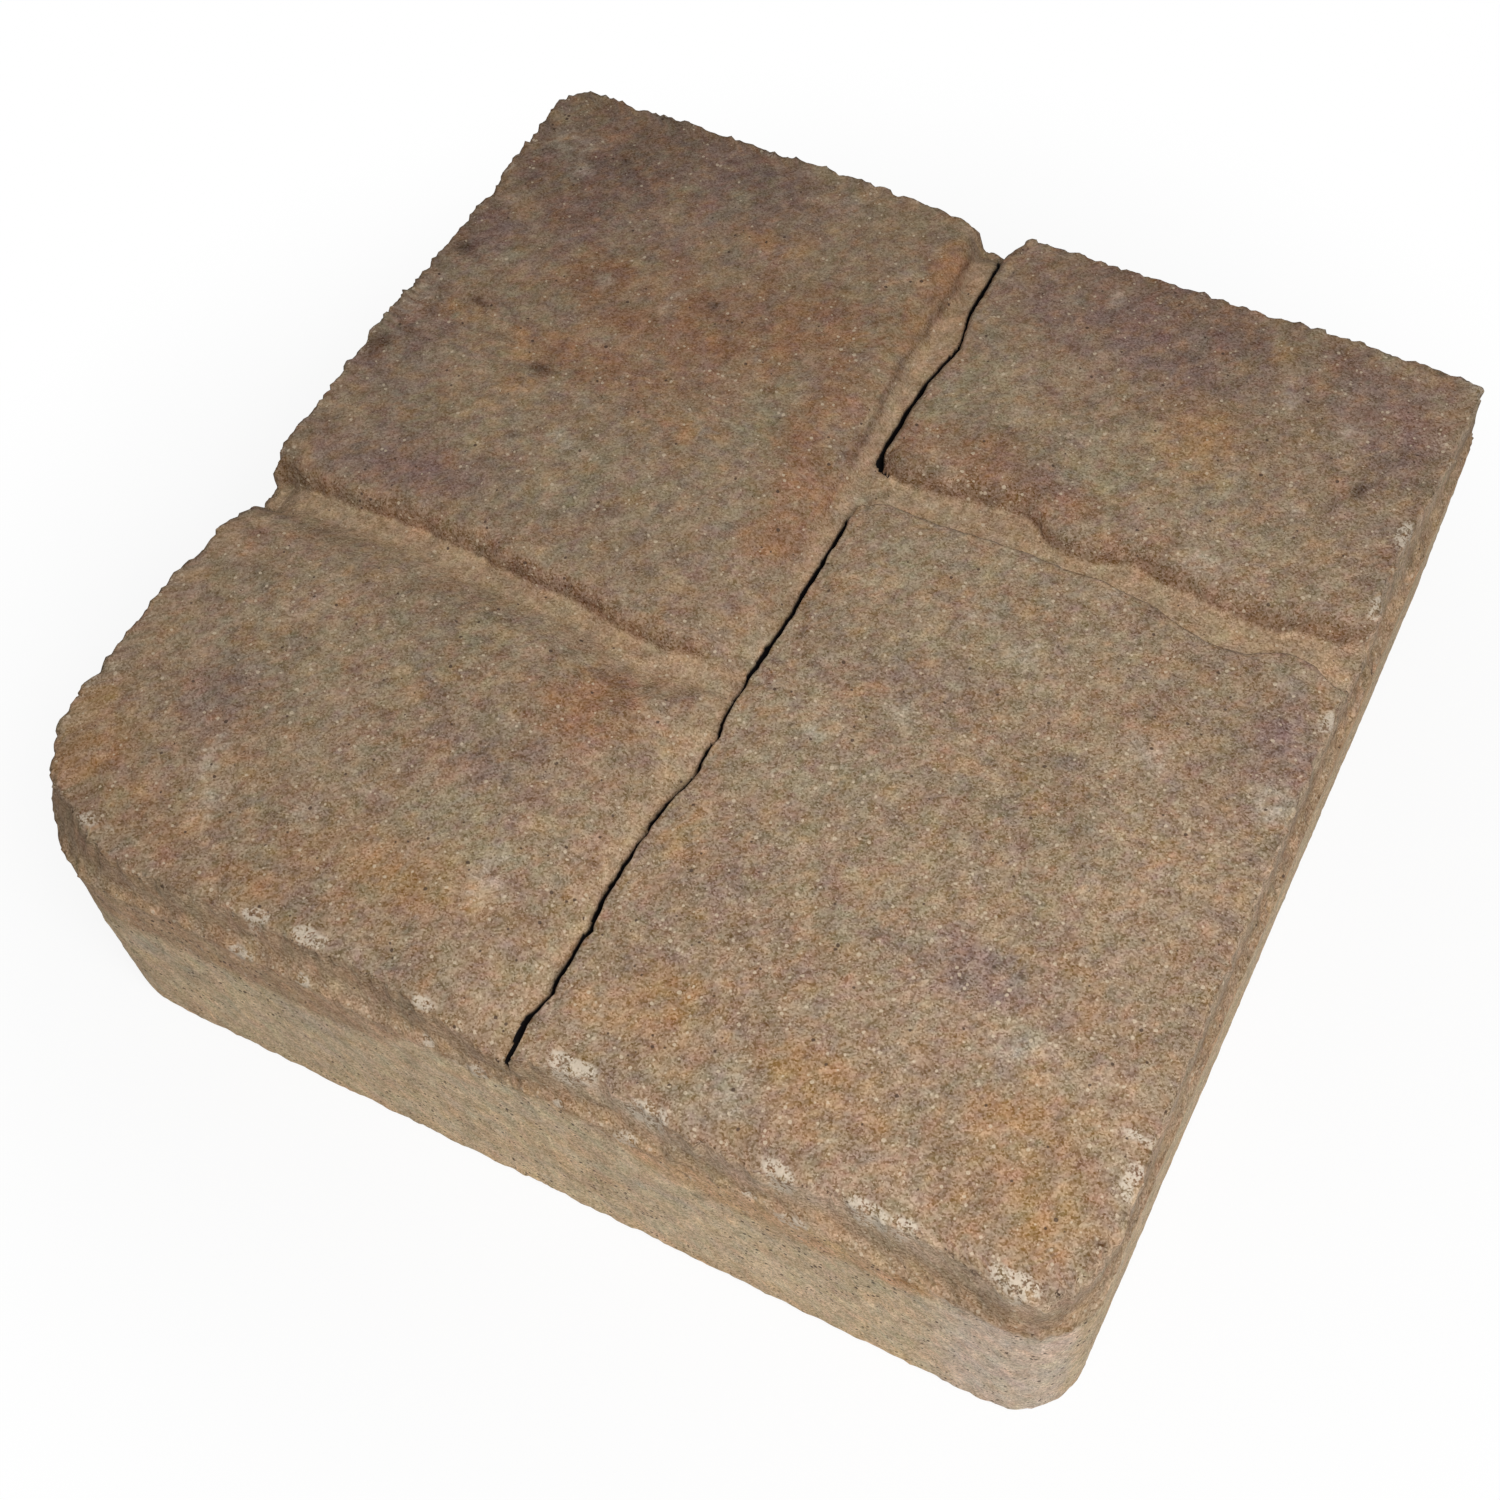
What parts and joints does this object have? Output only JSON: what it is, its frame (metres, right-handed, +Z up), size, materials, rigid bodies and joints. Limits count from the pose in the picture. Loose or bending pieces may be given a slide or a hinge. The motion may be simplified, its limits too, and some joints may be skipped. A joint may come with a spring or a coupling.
{
  "type": "concrete paving slab",
  "caption": "Square cast concrete paving slab with a bevelled, worn edge and a face moulded to look like a group of old cobbles with joints between them.",
  "frame": {"origin": "middle of the underside, where the slab lies on its bed", "axes": "+Z up through the slab to its cobbled face, +X right and +Y back along its square sides"},
  "size_m": [0.23, 0.23, 0.064],
  "materials": {
    "concrete": "mottled brown, ochre and grey concrete, matt, sandy, worn along the rims"
  },
  "bodies": {
    "root": {"paving_slab": "concrete"}
  },
  "joints": []
}
